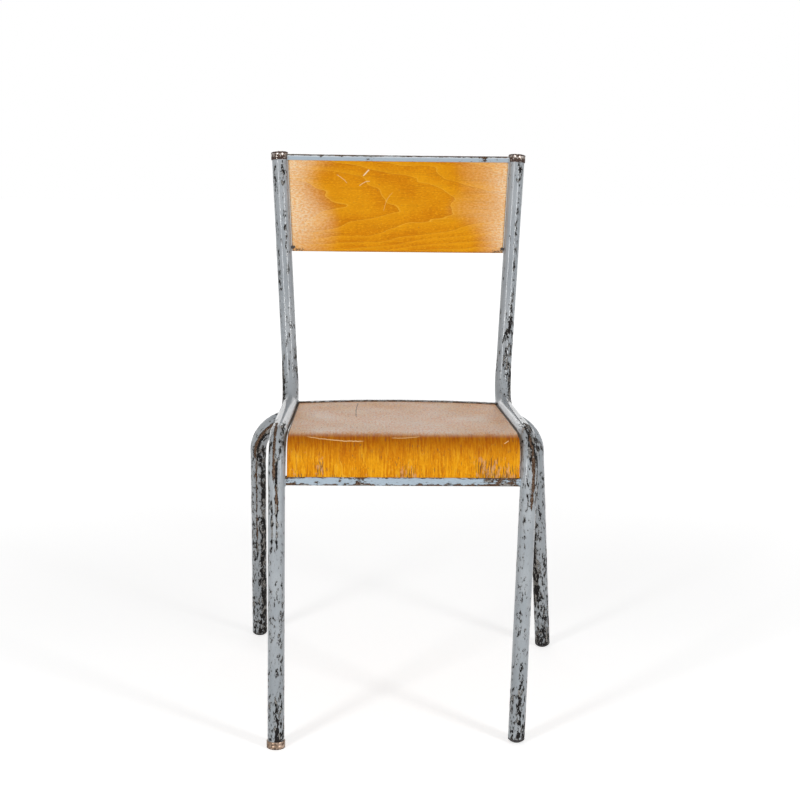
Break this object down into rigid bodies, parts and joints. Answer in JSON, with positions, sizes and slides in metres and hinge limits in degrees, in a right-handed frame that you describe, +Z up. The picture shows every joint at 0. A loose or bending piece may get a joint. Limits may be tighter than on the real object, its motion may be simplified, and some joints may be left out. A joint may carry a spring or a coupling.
{
  "type": "peeling paint chair",
  "caption": "Old stacking chair with a bent steel tube frame in chipped blue-grey paint, a moulded amber ply seat and a ply back panel.",
  "frame": {"origin": "centre of the bounding box in plan, on the floor plane under the feet", "axes": "+Z up, the front of the chair faces -Y, +X to the left hand of a person sitting on it"},
  "size_m": [0.4896, 0.5061, 0.807],
  "materials": {
    "chipped_paint": "gloss blue-grey enamel, chipped to dark primer and rust",
    "seat_ply": "worn gloss varnish on moulded beech ply, grain front to back",
    "back_ply": "worn gloss varnish on beech ply, grain side to side",
    "rusty_caps": "old nickel plate, rusting brown",
    "worn_ferrule": "coppery worn steel cup",
    "foot_rubber": "hard dark rubber, scuffed",
    "dark_steel": "bare dark steel"
  },
  "bodies": {
    "root": {"side_tube_left": "chipped_paint", "side_tube_right": "chipped_paint", "rear_leg_arch": "chipped_paint", "front_rail": "chipped_paint", "rear_rail": "chipped_paint", "top_rail": "chipped_paint", "seat_panel": "seat_ply", "back_panel": "back_ply", "cap_left": "rusty_caps", "cap_right": "rusty_caps", "ferrule_front_left": "worn_ferrule", "plug_front_right": "foot_rubber", "plug_rear_left": "foot_rubber", "plug_rear_right": "foot_rubber", "clip_left": "dark_steel", "clip_right": "dark_steel"}
  },
  "joints": []
}
